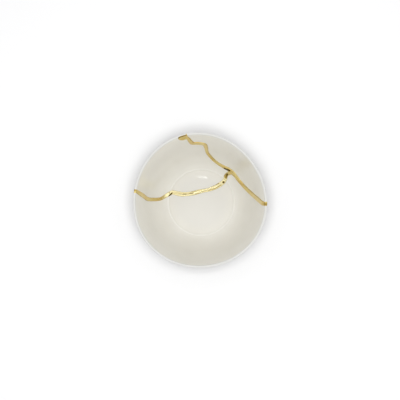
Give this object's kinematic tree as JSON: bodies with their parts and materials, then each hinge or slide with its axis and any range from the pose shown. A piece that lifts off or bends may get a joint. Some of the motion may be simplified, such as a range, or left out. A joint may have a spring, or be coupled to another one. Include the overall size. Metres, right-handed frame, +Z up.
{
  "type": "kintsugi tea bowl",
  "caption": "Round footed porcelain tea bowl, broken into sherds and mended with raised seams of gilded lacquer that run from rim to rim.",
  "frame": {"origin": "middle of the foot ring, at the level of its underside", "axes": "+Z up out of the mouth, +Y towards the chip at the back of the rim, +X to the right as seen from above"},
  "size_m": [0.1252, 0.1257, 0.0689],
  "materials": {
    "porcelain": "glossy off-white glaze",
    "gold": "satin to bright gilded lacquer"
  },
  "bodies": {
    "root": {"sherd_lower": "porcelain", "sherd_upper_left": "porcelain", "sherd_upper_right": "porcelain", "gold_seam": "gold"}
  },
  "joints": []
}
